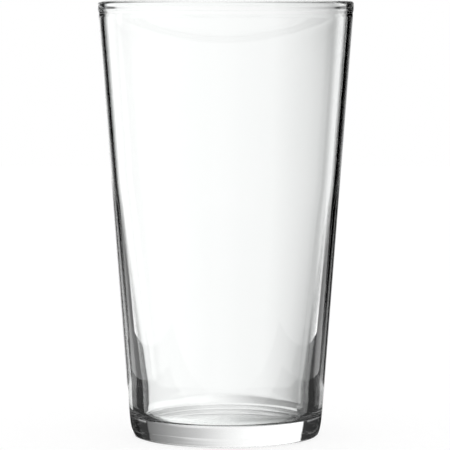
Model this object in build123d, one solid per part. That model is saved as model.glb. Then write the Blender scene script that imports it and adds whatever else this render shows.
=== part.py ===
from build123d import *
import os

# Pint glass: one piece of clear soda-lime glass, pressed, blown and fire-polished.
# Millimetres, +Z up. The origin is the centre of the ring that the glass stands on.
# The shape is one closed outline in the XZ plane, turned once about the Z axis.

# Driving dimensions
height = 150.4                 # table to brim
wall_radius_low = 33.03        # straight outer wall, carried down to the table
wall_radius_high = 44.21       # the same wall, carried up to the brim

# Foot: dished underside, standing ring and rounded heel
dish_depth = 1.3               # how far the middle of the underside is off the table
ring_inner_radius = 28.6
ring_outer_radius = 32.05      # where the heel would meet the table if it were sharp
heel_turn = (32.73, 1.91)      # radius and height where the heel turns in faster
heel_break_height = 5.38       # the heel leaves the line of the wall about here

# Brim: a shallow neck, then a fire-polished bead that bulges outside and inside
neck_start_height = 145.1      # the outer wall starts to draw in here
neck_height = 146.2
neck_depth = 0.13              # how far the neck is inside the line of the wall
neck_inner = (42.33, 147.7)    # radius and height of the inside just under the bead
bead_outer_radius = 44.07
bead_inner_radius = 41.95
bead_outer_height = 147.3      # lower edge of the bead outside
bead_inner_height = 148.7      # lower edge of the bead inside

# Inside: a thin even upper wall, a thicker lower wall and a rounded floor
knee = (37.45, 85.0)           # radius and height where the wall starts to thicken
hip = (29.2, 17.3)             # the thickening eases off here
hip_low = (28.6, 9.2)          # the lower wall starts to bend towards the floor
floor_corner = (27.7, 6.9)     # where the bent wall and the floor would meet
floor_crown = 0.4              # how far the middle of the floor is above its edge

# Roundings, as radii
dish_rounding = 290.0
ring_rounding = 1.0
heel_edge_rounding = 1.2
heel_turn_rounding = 10.0
heel_break_rounding = 39.0
neck_start_rounding = 3.0
neck_rounding = 1.5
bead_rounding = 2.0
lip_rounding = 1.02
bead_inner_rounding = 1.0
neck_inner_rounding = 1.2
knee_rounding = 220.0
hip_rounding = 60.0
hip_low_rounding = 6.0
floor_rounding = 1.7
crown_rounding = 300.0


def wall_radius(z):
    """Radius of the straight outer wall at height z."""
    return wall_radius_low + (wall_radius_high - wall_radius_low) * z / height


def foot_corners():
    """Corners (radius, height, rounding) from the axis out and up the heel."""
    return [
        (0, dish_depth, 0),
        (ring_inner_radius / 2, dish_depth, dish_rounding),
        (ring_inner_radius, 0, ring_rounding),
        (ring_outer_radius, 0, heel_edge_rounding),
        (*heel_turn, heel_turn_rounding),
        (wall_radius(heel_break_height), heel_break_height, heel_break_rounding),
    ]


def brim_corners():
    """Corners of the neck, the outside and the inside of the bead."""
    return [
        (wall_radius(neck_start_height), neck_start_height, neck_start_rounding),
        (wall_radius(neck_height) - neck_depth, neck_height, neck_rounding),
        (bead_outer_radius, bead_outer_height, bead_rounding),
        (bead_outer_radius, height, lip_rounding),
        (bead_inner_radius, height, lip_rounding),
        (bead_inner_radius, bead_inner_height, bead_inner_rounding),
        (*neck_inner, neck_inner_rounding),
    ]


def inside_corners():
    """Corners down the inner wall and across the floor to the axis."""
    floor_middle = floor_corner[1] + floor_crown
    return [
        (*knee, knee_rounding),
        (*hip, hip_rounding),
        (*hip_low, hip_low_rounding),
        (*floor_corner, floor_rounding),
        (floor_corner[0] / 2, floor_middle, crown_rounding),
        (0, floor_middle, 0),
    ]


def glass_outline():
    """Half section of the glass, from the underside round to the floor."""
    corners = foot_corners() + brim_corners() + inside_corners()
    points = [(radius, 0, z) for radius, z, rounding in corners]
    roundings = [rounding for radius, z, rounding in corners]
    skin = FilletPolyline(*points, radius=roundings[1:-1])
    axis_line = Line(points[-1], points[0])
    return make_face([*skin.edges(), axis_line])


def glass_body():
    """The whole glass as one solid of revolution."""
    return revolve(glass_outline(), Axis.Z)


os.makedirs("parts", exist_ok=True)
export_step(glass_body(), "parts/glass_body.step")
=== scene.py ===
import math

import bpy
from mathutils import Matrix, Vector


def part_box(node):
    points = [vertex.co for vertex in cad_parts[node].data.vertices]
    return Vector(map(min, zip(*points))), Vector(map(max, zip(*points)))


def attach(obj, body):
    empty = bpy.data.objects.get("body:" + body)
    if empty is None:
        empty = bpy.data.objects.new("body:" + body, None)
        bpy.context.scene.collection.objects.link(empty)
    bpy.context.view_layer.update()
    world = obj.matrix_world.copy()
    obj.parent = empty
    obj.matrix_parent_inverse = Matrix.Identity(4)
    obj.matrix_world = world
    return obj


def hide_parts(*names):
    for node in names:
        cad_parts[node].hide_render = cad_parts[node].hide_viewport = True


# Pint glass in clear glass on a pale table. The glass's own sizes are in millimetres, as its
# design states them, and MM turns them into Blender's metres. The stage's sizes are in metres.
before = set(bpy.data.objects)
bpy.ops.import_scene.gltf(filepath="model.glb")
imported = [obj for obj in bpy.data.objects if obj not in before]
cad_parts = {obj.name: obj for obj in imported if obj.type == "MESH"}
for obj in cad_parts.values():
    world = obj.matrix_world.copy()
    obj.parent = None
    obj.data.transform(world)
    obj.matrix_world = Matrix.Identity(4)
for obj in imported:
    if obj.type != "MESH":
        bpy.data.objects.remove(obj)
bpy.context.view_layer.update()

MM = 0.001
NODE = "glass_body"

# Driving dimensions of the glass; its height and its widest radius come from the frame
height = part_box(NODE)[1].z / MM
wall_radius_low = 33.03        # straight outer wall, carried down to the table
wall_radius_high = 44.21       # the same wall, carried up to the brim

# Foot: dished underside, standing ring and rounded heel
dish_depth = 1.3               # how far the middle of the underside is off the table
ring_inner_radius = 28.6
ring_outer_radius = 32.05      # where the heel would meet the table if it were sharp
heel_turn = (32.73, 1.91)      # radius and height where the heel turns in faster
heel_break_height = 5.38       # the heel leaves the line of the wall about here

# Brim: a shallow neck, then a bead that bulges outside and inside
neck_start_height = 145.1
neck_height = 146.2
neck_depth = 0.13              # how far the neck is inside the line of the wall
neck_inner = (42.33, 147.7)    # radius and height of the inside just under the bead
bead_outer_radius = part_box(NODE)[1].x / MM
bead_inner_radius = 41.95
bead_outer_height = 147.3      # lower edge of the bead outside
bead_inner_height = 148.7      # lower edge of the bead inside

# Inside: a thin even upper wall, a thicker lower wall and a rounded floor
knee = (37.45, 85.0)           # radius and height where the wall starts to thicken
hip = (29.2, 17.3)             # the thickening eases off here
hip_low = (28.6, 9.2)          # the lower wall starts to bend towards the floor
floor_corner = (27.7, 6.9)     # where the bent wall and the floor would meet
floor_crown = 0.4              # how far the middle of the floor is above its edge

# Roundings, as radii
dish_rounding = 290.0
ring_rounding = 1.0
heel_edge_rounding = 1.2
heel_turn_rounding = 10.0
heel_break_rounding = 39.0
neck_start_rounding = 3.0
neck_rounding = 1.5
bead_rounding = 2.0
lip_rounding = 1.02
bead_inner_rounding = 1.0
neck_inner_rounding = 1.2
knee_rounding = 220.0
hip_rounding = 60.0
hip_low_rounding = 6.0
floor_rounding = 1.7
crown_rounding = 300.0

# Outline roundness and mesh density
ARC_STEP = math.radians(3.5)   # turn between two outline points on a rounding
ROW_STEP = 1.7                 # longest gap between two outline points, in millimetres
SEGMENTS = 288                 # points round the glass

# Glass: optical values and surface detail. A noise is given as its lumps per metre and its number
# of finer layers, and heights are in metres.
GLASS_IOR = 1.52
CLEAR_TINT = (0.995, 1.0, 0.998)
CORD_TINT = (0.985, 0.995, 0.990)
CORD_NOISE = (60, 2)
WAVE_NOISE = (70, 1)
WAVE_HEIGHT = 0.000010
RIPPLE_NOISE = (420, 2)
RIPPLE_HEIGHT = 0.0000006
SMEAR_NOISE = (35, 3)
SMEAR_RANGE = (0.50, 0.75)     # noise values where a smear starts and where it is full
SMEAR_ROUGHNESS = 0.012
SCUFF_NOISE = (2500, 4)
SCUFF_RANGE = (0.35, 0.65)     # noise values where a scuff starts and where it is full
SCUFF_ROUGHNESS = 0.35
WORN_HEIGHTS = (0.0001, 0.0006)    # scuffed up to the first height, and not at all above the second

# Camera: a long lens, a little above the brim
LENS = 235.2
SENSOR = 36
LENS_SHIFT = -0.00156          # as a share of the picture's width
CAMERA_DISTANCE = 1.0152
EYE_HEIGHT = 0.1564
AIM_HEIGHT = 0.0730

# How many times light may bounce; light that crosses a glass meets many surfaces
MOST_BOUNCES = 32
GLASS_BOUNCES = 32
GLOSSY_BOUNCES = 16

# The surroundings as the camera and the floor see them. The floor glows a little by itself, so that
# the shadow under the glass stays faint.
PLAIN_LIGHT = 1.0
FLOOR_SHADE = 0.22
FLOOR_GLOW = 0.80
FLOOR_HALF = 1.5

# The surroundings as the glass sees them: brightness by bearing from the line of sight (degrees,
# + to the right), and by height above it (degrees)
PEAK = 4.0                     # the brightest value that any list of stops may hold
SIDE_LIGHT = [(-180, 0.85), (-66, 0.95), (-43, 1.25), (-41, 0.0), (41, 0.0), (43, 1.5),
              (54, 1.5), (58, 0.3), (70, 0.3), (76, 0.8), (180, 0.8)]
SIDE_RISE = [(-90, 0.5), (-28, 0.6), (-24, 1.0), (4.5, 1.0), (6, 0.03), (35, 0.03), (60, 0.6),
             (90, 0.6)]
TOP_LIGHT = [(-90, 0.0), (55, 0.0), (70, 0.3), (90, 0.3)]

# The backdrop card: how far behind the glass it stands, how high it goes, and its brightness by
# distance from the middle, + to the right
CARD_BEHIND = 0.123
CARD_TOP = 0.30
CARD_HIGH = [(-0.090, 0.2), (-0.082, 0.4), (-0.074, 0.95), (-0.066, 1.12), (-0.045, 1.1),
             (0.0, 1.02), (0.020, 0.97), (0.037, 0.78), (0.052, 0.55), (0.066, 0.47),
             (0.072, 0.15), (0.082, 0.0)]
CARD_LOW = [(-0.078, 0.04), (-0.077, 0.3), (-0.073, 1.3), (-0.040, 1.3), (-0.010, 1.1),
            (0.0, 0.95), (0.015, 0.62), (0.029, 0.44), (0.045, 0.32), (0.060, 0.25),
            (0.075, 0.20), (0.082, 0.0)]

# Where the card is seen from below, CARD_LOW takes over from CARD_HIGH. How far it does depends on
# the slope of the view, as the sine of its angle, and on the height on the card.
STEEP_SLOPES = (0.135, 0.150)  # between these, CARD_BAND gives way to STEEP_BAND
CARD_TILT = [(0.0, 0.0), (0.02, 1.0), (STEEP_SLOPES[0], 1.0), (STEEP_SLOPES[1], 0.0)]
CARD_BAND = [(0.0, 1.0), (0.05, 1.0), (0.07, 0.0)]
STEEP_BAND = [(0.0, 0.0), (0.013, 0.0), (0.017, 1.0), (0.05, 1.0), (0.07, 0.0)]

# The glossy part of the table top: a strip under the glass that fans out towards the backdrop
STRIP = [(-0.032, -0.033), (0.028, -0.033), (0.029, 0.020), (0.048, 0.036), (0.062, 0.060),
         (0.088, CARD_BEHIND), (-0.076, CARD_BEHIND), (-0.037, 0.020)]

# The dull (not glossy) part of the table top, to both sides of the strip and in front of it. It is
# painted shade: the glass sees it glowing faintly where the camera sees the pale floor
SHADED_TABLE_SIDE = 0.120
SHADED_TABLE_FRONT = -0.070
# painted shade: how bright the shaded table top looks to the glass
SHADED_TABLE_GLOW = 0.03

# How far each flat piece of the stage starts under the bottom of the glass, so that none touches it
STRIP_DEPTH = 0.00005
SHADED_TABLE_DEPTH = 0.0001
CARD_DEPTH = 0.0002
FLOOR_DEPTH = 0.0003


# ---------------------------------------------------------------- outline

def wall_radius(z):
    """Radius of the straight outer wall at height z."""
    return wall_radius_low + (wall_radius_high - wall_radius_low) * z / height


def foot_corners():
    """Corners (radius, height, rounding) from the axis out and up the heel."""
    return [
        (0, dish_depth, 0),
        (ring_inner_radius / 2, dish_depth, dish_rounding),
        (ring_inner_radius, 0, ring_rounding),
        (ring_outer_radius, 0, heel_edge_rounding),
        (*heel_turn, heel_turn_rounding),
        (wall_radius(heel_break_height), heel_break_height, heel_break_rounding),
    ]


def brim_corners():
    """Corners of the neck, and of the outside and the inside of the bead."""
    return [
        (wall_radius(neck_start_height), neck_start_height, neck_start_rounding),
        (wall_radius(neck_height) - neck_depth, neck_height, neck_rounding),
        (bead_outer_radius, bead_outer_height, bead_rounding),
        (bead_outer_radius, height, lip_rounding),
        (bead_inner_radius, height, lip_rounding),
        (bead_inner_radius, bead_inner_height, bead_inner_rounding),
        (*neck_inner, neck_inner_rounding),
    ]


def inside_corners():
    """Corners down the inner wall and across the floor to the axis."""
    floor_middle = floor_corner[1] + floor_crown
    return [
        (*knee, knee_rounding),
        (*hip, hip_rounding),
        (*hip_low, hip_low_rounding),
        (*floor_corner, floor_rounding),
        (floor_corner[0] / 2, floor_middle, crown_rounding),
        (0, floor_middle, 0),
    ]


def rounded_corner(before, corner, after, rounding):
    """Points of the arc that rounds a corner between two straight runs."""
    into = (corner - before).normalized()
    out = (after - corner).normalized()
    turn = into.angle_signed(out)
    reach = rounding * math.tan(abs(turn) / 2)
    start = corner - into * reach
    side = Vector((into.y, -into.x)) * math.copysign(1, turn)
    centre = start + side * rounding
    fewest = 2
    by_turn = math.ceil(abs(turn) / ARC_STEP)
    by_length = math.ceil(abs(turn) * rounding / ROW_STEP)
    count = max(fewest, by_turn, by_length)
    spoke = start - centre
    points = []
    for k in range(count + 1):
        angle = -turn * k / count
        points.append(centre + Matrix.Rotation(angle, 2) @ spoke)
    return points


def filled_in(points):
    """The same line with extra points, so that no gap is over ROW_STEP."""
    line = [points[0]]
    for point in points[1:]:
        start = line[-1]
        parts = max(1, math.ceil((point - start).length / ROW_STEP))
        for k in range(1, parts + 1):
            line.append(start.lerp(point, k / parts))
    return line


def outline():
    """Dense outline of the half section, from the underside's middle to the floor's."""
    corners = foot_corners() + brim_corners() + inside_corners()
    flat = [Vector((radius, z)) for radius, z, rounding in corners]
    points = [flat[0]]
    for k in range(1, len(corners) - 1):
        rounding = corners[k][2]
        points += rounded_corner(flat[k - 1], flat[k], flat[k + 1], rounding)
    points.append(flat[-1])
    return filled_in(points)


# ---------------------------------------------------------------- glass mesh

def lathe(points, name):
    """Mesh made by turning the outline round Z, closed by one point at each end."""
    rows = points[1:-1]
    angles = [2 * math.pi * k / SEGMENTS for k in range(SEGMENTS)]
    verts = []
    for r, z in rows:
        verts += [(r * math.cos(a) * MM, r * math.sin(a) * MM, z * MM) for a in angles]
    bottom = len(verts)
    top = bottom + 1
    verts += [(0, 0, points[0].y * MM), (0, 0, points[-1].y * MM)]
    faces = []
    last = (len(rows) - 1) * SEGMENTS
    for k in range(SEGMENTS):
        n = (k + 1) % SEGMENTS
        for row in range(len(rows) - 1):
            base = row * SEGMENTS
            faces.append((base + k, base + n, base + SEGMENTS + n, base + SEGMENTS + k))
        faces.append((bottom, n, k))
        faces.append((top, last + k, last + n))
    mesh = bpy.data.meshes.new(name)
    mesh.from_pydata(verts, [], faces)
    mesh.validate()
    mesh.shade_smooth()
    return mesh


def make_glass():
    """The visible glass."""
    mesh = lathe(outline(), "pint_glass")
    mesh.materials.append(glass_material())
    glass = bpy.data.objects.new("pint_glass", mesh)
    bpy.context.scene.collection.objects.link(glass)
    return glass


# ---------------------------------------------------------------- shader steps

def new_material(name):
    """An empty node material, its tree and its output node."""
    material = bpy.data.materials.new(name)
    material.use_nodes = True
    material.node_tree.nodes.clear()
    output = material.node_tree.nodes.new("ShaderNodeOutputMaterial")
    return material, material.node_tree, output


def feed(tree, socket, value):
    """Give an input a fixed value, or link another node's output to it."""
    if isinstance(value, bpy.types.NodeSocket):
        tree.links.new(value, socket)
    else:
        socket.default_value = value


def maths(tree, operation, *values):
    """One step of arithmetic on sockets and numbers."""
    made = tree.nodes.new("ShaderNodeMath")
    made.operation = operation
    for socket, value in zip(made.inputs, values):
        feed(tree, socket, value)
    return made.outputs[0]


def blend(tree, share, first, second):
    """The first number where share is 0, the second where it is 1, and a mix in between."""
    made = tree.nodes.new("ShaderNodeMix")
    factor, number_a, number_b = made.inputs[0], made.inputs[2], made.inputs[3]
    feed(tree, factor, share)
    feed(tree, number_a, first)
    feed(tree, number_b, second)
    return made.outputs[0]


def split(tree, vector):
    """The X, Y and Z of a vector."""
    made = tree.nodes.new("ShaderNodeSeparateXYZ")
    tree.links.new(vector, made.inputs[0])
    return made.outputs


def between(tree, value, limits, ends):
    """The first end up to the first limit, the second end beyond the second, straight between."""
    made = tree.nodes.new("ShaderNodeMapRange")
    tree.links.new(value, made.inputs["Value"])
    made.inputs["From Min"].default_value = limits[0]
    made.inputs["From Max"].default_value = limits[1]
    made.inputs["To Min"].default_value = ends[0]
    made.inputs["To Max"].default_value = ends[1]
    return made.outputs[0]


def steps(tree, value, stops):
    """Straight lines between (value, brightness) stops, and level beyond the outer ones."""
    low, high = stops[0][0], stops[-1][0]
    share = maths(tree, "DIVIDE", maths(tree, "SUBTRACT", value, low), high - low)
    share.node.use_clamp = True
    ramp = tree.nodes.new("ShaderNodeFloatCurve")
    points = ramp.mapping.curves[0].points
    anywhere = 0.5
    while len(points) < len(stops):
        points.new(anywhere, anywhere)
    for point, (at, bright) in zip(points, stops):
        point.location = ((at - low) / (high - low), bright / PEAK)
        point.handle_type = "VECTOR"
    ramp.mapping.update()
    tree.links.new(share, ramp.inputs["Value"])
    return maths(tree, "MULTIPLY", ramp.outputs[0], PEAK)


def noise(tree, place, scale, detail):
    """Noise in real size: about one lump every 1/scale metres."""
    made = tree.nodes.new("ShaderNodeTexNoise")
    made.inputs["Scale"].default_value = scale
    made.inputs["Detail"].default_value = detail
    tree.links.new(place, made.inputs["Vector"])
    return made.outputs[0]


def glow(tree, strength):
    """A plain white glow."""
    made = tree.nodes.new("ShaderNodeEmission")
    feed(tree, made.inputs["Strength"], strength)
    return made.outputs[0]


# ---------------------------------------------------------------- glass material

def glass_roughness(tree, place):
    """Fire-polished all over, with faint handling smears and a scuffed standing ring."""
    smears = between(tree, noise(tree, place, *SMEAR_NOISE), SMEAR_RANGE, (0, SMEAR_ROUGHNESS))
    scuffs = between(tree, noise(tree, place, *SCUFF_NOISE), SCUFF_RANGE, (0, SCUFF_ROUGHNESS))
    worn = between(tree, split(tree, place)["Z"], WORN_HEIGHTS, (1, 0))
    return maths(tree, "ADD", smears, maths(tree, "MULTIPLY", scuffs, worn))


def glass_waves(tree, place):
    """Height of the mould's slow waves and of the finer chill ripple, in metres."""
    waves = maths(tree, "MULTIPLY", noise(tree, place, *WAVE_NOISE), WAVE_HEIGHT)
    ripple = maths(tree, "MULTIPLY", noise(tree, place, *RIPPLE_NOISE), RIPPLE_HEIGHT)
    return maths(tree, "ADD", waves, ripple)


def glass_tint(tree, place):
    """Clear soda-lime glass, with cords of very slightly greener melt."""
    mix = tree.nodes.new("ShaderNodeMix")
    mix.data_type = "RGBA"
    factor, colour_a, colour_b = mix.inputs[0], mix.inputs[6], mix.inputs[7]
    tree.links.new(noise(tree, place, *CORD_NOISE), factor)
    colour_a.default_value = (*CLEAR_TINT, 1)
    colour_b.default_value = (*CORD_TINT, 1)
    mixed_colour = mix.outputs[2]
    return mixed_colour


def glass_bump(tree, place):
    """The waves and ripples as a change of the surface's direction, at their true height."""
    bump = tree.nodes.new("ShaderNodeBump")
    bump.inputs["Strength"].default_value = 1.0
    bump.inputs["Distance"].default_value = 1.0
    tree.links.new(glass_waves(tree, place), bump.inputs["Height"])
    return bump.outputs[0]


def glass_material():
    """Clear glass, with its detail made at real size from the piece's own coordinates."""
    material, tree, output = new_material("clear_glass")
    place = tree.nodes.new("ShaderNodeTexCoord").outputs["Object"]
    shader = tree.nodes.new("ShaderNodeBsdfPrincipled")
    shader.inputs["Transmission Weight"].default_value = 1.0
    shader.inputs["IOR"].default_value = GLASS_IOR
    tree.links.new(glass_tint(tree, place), shader.inputs["Base Color"])
    tree.links.new(glass_roughness(tree, place), shader.inputs["Roughness"])
    tree.links.new(glass_bump(tree, place), shader.inputs["Normal"])
    tree.links.new(shader.outputs[0], output.inputs["Surface"])
    return material


# ---------------------------------------------------------------- camera and surroundings

def make_camera():
    """The camera, looking slightly down on the glass."""
    data = bpy.data.cameras.new("camera")
    data.lens = LENS
    data.sensor_width = SENSOR
    data.shift_x = LENS_SHIFT
    camera = bpy.data.objects.new("camera", data)
    camera.location = (0, -CAMERA_DISTANCE, EYE_HEIGHT)
    aim = Vector((0, 0, AIM_HEIGHT)) - camera.location
    camera.rotation_euler = aim.to_track_quat("-Z", "Y").to_euler()
    bpy.context.scene.collection.objects.link(camera)
    bpy.context.scene.camera = camera


def softbox_light(tree):
    """Brightness of the softboxes and the dark gaps between them, by where they stand."""
    unit = tree.nodes.new("ShaderNodeVectorMath")
    unit.operation = "NORMALIZE"
    place = tree.nodes.new("ShaderNodeTexCoord").outputs["Camera"]
    tree.links.new(place, unit.inputs[0])
    right, up, ahead = split(tree, unit.outputs[0])
    bearing = maths(tree, "DEGREES", maths(tree, "ARCTAN2", right, ahead))
    rise = maths(tree, "DEGREES", maths(tree, "ARCSINE", up))
    side = maths(tree, "MULTIPLY", steps(tree, bearing, SIDE_LIGHT), steps(tree, rise, SIDE_RISE))
    return maths(tree, "MAXIMUM", side, steps(tree, rise, TOP_LIGHT))


def make_world():
    """Plain light for the camera and for dull surfaces, and softboxes for the glass."""
    world = bpy.data.worlds.new("studio")
    world.use_nodes = True
    tree = world.node_tree
    path = tree.nodes.new("ShaderNodeLightPath")
    half_a_bounce = 0.5
    off_dull = maths(tree, "GREATER_THAN", path.outputs["Diffuse Depth"], half_a_bounce)
    plain = maths(tree, "MAXIMUM", path.outputs["Is Camera Ray"], off_dull)
    light = blend(tree, plain, softbox_light(tree), PLAIN_LIGHT)
    tree.links.new(light, tree.nodes["Background"].inputs["Color"])
    bpy.context.scene.world = world


# ---------------------------------------------------------------- stage pieces

def make_rig():
    """An empty at the origin whose +Y always points away from the camera."""
    rig = bpy.data.objects.new("card_rig", None)
    bpy.context.scene.collection.objects.link(rig)
    track = rig.constraints.new("LOCKED_TRACK")
    track.target = bpy.context.scene.camera
    track.track_axis = "TRACK_NEGATIVE_Y"
    track.lock_axis = "LOCK_Z"
    return rig


def flat_piece(name, corners, material):
    """A flat piece of the stage with these corners."""
    mesh = bpy.data.meshes.new(name)
    mesh.from_pydata(corners, [], [tuple(range(len(corners)))])
    mesh.materials.append(material)
    piece = bpy.data.objects.new(name, mesh)
    bpy.context.scene.collection.objects.link(piece)
    return piece


def place_on_rig(piece, rig):
    """Only light that has been through the glass, or off it, meets a piece on the rig."""
    piece.parent = rig
    piece.visible_camera = False
    piece.visible_diffuse = False
    piece.visible_shadow = False


def share_of_low(tree, height_on_card):
    """How much CARD_LOW shows: 0 from above, and up to 1 from below, low on the card."""
    towards_viewer = tree.nodes.new("ShaderNodeNewGeometry").outputs["Incoming"]
    from_below = maths(tree, "MULTIPLY", split(tree, towards_viewer)["Z"], -1)
    low_band = steps(tree, height_on_card, CARD_BAND)
    gentle = maths(tree, "MULTIPLY", steps(tree, from_below, CARD_TILT), low_band)
    is_steep = between(tree, from_below, STEEP_SLOPES, (0, 1))
    steep = maths(tree, "MULTIPLY", is_steep, steps(tree, height_on_card, STEEP_BAND))
    return maths(tree, "MAXIMUM", gentle, steep)


def backdrop_material():
    """Soft-edged brightness across the card, dimmer on the right when seen from below."""
    material, tree, output = new_material("backdrop_card")
    place = tree.nodes.new("ShaderNodeTexCoord").outputs["Object"]
    spot = split(tree, place)
    high = steps(tree, spot["X"], CARD_HIGH)
    low = steps(tree, spot["X"], CARD_LOW)
    brightness = blend(tree, share_of_low(tree, spot["Z"]), high, low)
    tree.links.new(glow(tree, brightness), output.inputs["Surface"])
    return material


def make_backdrop(rig):
    """The backdrop card, upright behind the glass."""
    left, right = CARD_HIGH[0][0], CARD_HIGH[-1][0]
    foot = [(left, CARD_BEHIND, -CARD_DEPTH), (right, CARD_BEHIND, -CARD_DEPTH)]
    top = [(right, CARD_BEHIND, CARD_TOP), (left, CARD_BEHIND, CARD_TOP)]
    place_on_rig(flat_piece("backdrop_card", foot + top, backdrop_material()), rig)


def gloss_material():
    """Glossy table top."""
    material, tree, output = new_material("table_gloss")
    gloss = tree.nodes.new("ShaderNodeBsdfAnisotropic")
    gloss.inputs["Roughness"].default_value = 0.0
    gloss.inputs["Color"].default_value = (1, 1, 1, 1)
    tree.links.new(gloss.outputs[0], output.inputs["Surface"])
    return material


def shaded_table_material():
    """Painted shade for the dull table top: a faint glow that stands in for the shaded table."""
    material, tree, output = new_material("table_painted_shade")
    tree.links.new(glow(tree, SHADED_TABLE_GLOW), output.inputs["Surface"])
    return material


def make_table(rig):
    """The table top, as light from the glass meets it: a glossy strip, with painted shade round it.
    """
    strip = [(x, y, -STRIP_DEPTH) for x, y in STRIP]
    side, front, back = SHADED_TABLE_SIDE, SHADED_TABLE_FRONT, CARD_BEHIND
    around = [(-side, front), (side, front), (side, back), (-side, back)]
    # the dull piece round the strip is painted shade, a faint dark glow
    dull = [(x, y, -SHADED_TABLE_DEPTH) for x, y in around]
    place_on_rig(flat_piece("table_gloss", strip, gloss_material()), rig)
    place_on_rig(flat_piece("table_painted_shade", dull, shaded_table_material()), rig)


def floor_material():
    """Pale paint that glows a little; from below it is see-through."""
    material, tree, output = new_material("floor")
    paint = tree.nodes.new("ShaderNodeBsdfDiffuse")
    paint.inputs["Color"].default_value = (FLOOR_SHADE, FLOOR_SHADE, FLOOR_SHADE, 1)
    lit = tree.nodes.new("ShaderNodeAddShader")
    tree.links.new(paint.outputs[0], lit.inputs[0])
    tree.links.new(glow(tree, FLOOR_GLOW), lit.inputs[1])
    clear = tree.nodes.new("ShaderNodeBsdfTransparent")
    face = tree.nodes.new("ShaderNodeNewGeometry")
    mix = tree.nodes.new("ShaderNodeMixShader")
    tree.links.new(face.outputs["Backfacing"], mix.inputs[0])
    tree.links.new(lit.outputs[0], mix.inputs[1])
    tree.links.new(clear.outputs[0], mix.inputs[2])
    tree.links.new(mix.outputs[0], output.inputs["Surface"])
    return material


def make_floor():
    """Pale floor, as the camera and soft light meet it."""
    half = FLOOR_HALF
    square = [(-half, -half), (half, -half), (half, half), (-half, half)]
    corners = [(x, y, -FLOOR_DEPTH) for x, y in square]
    floor = flat_piece("floor", corners, floor_material())
    floor.visible_glossy = False
    floor.visible_transmission = False


def make_stage():
    """Everything round the glass."""
    make_camera()
    make_world()
    rig = make_rig()
    make_backdrop(rig)
    make_table(rig)
    make_floor()


# ---------------------------------------------------------------- picture

def set_picture():
    """Plain tones, and enough bounces for light to get through the glass."""
    scene = bpy.context.scene
    scene.view_settings.view_transform = "Standard"
    scene.cycles.max_bounces = MOST_BOUNCES
    scene.cycles.transmission_bounces = GLASS_BOUNCES
    scene.cycles.glossy_bounces = GLOSSY_BOUNCES


glass = make_glass()
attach(glass, "root")
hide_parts(NODE)
make_stage()
set_picture()
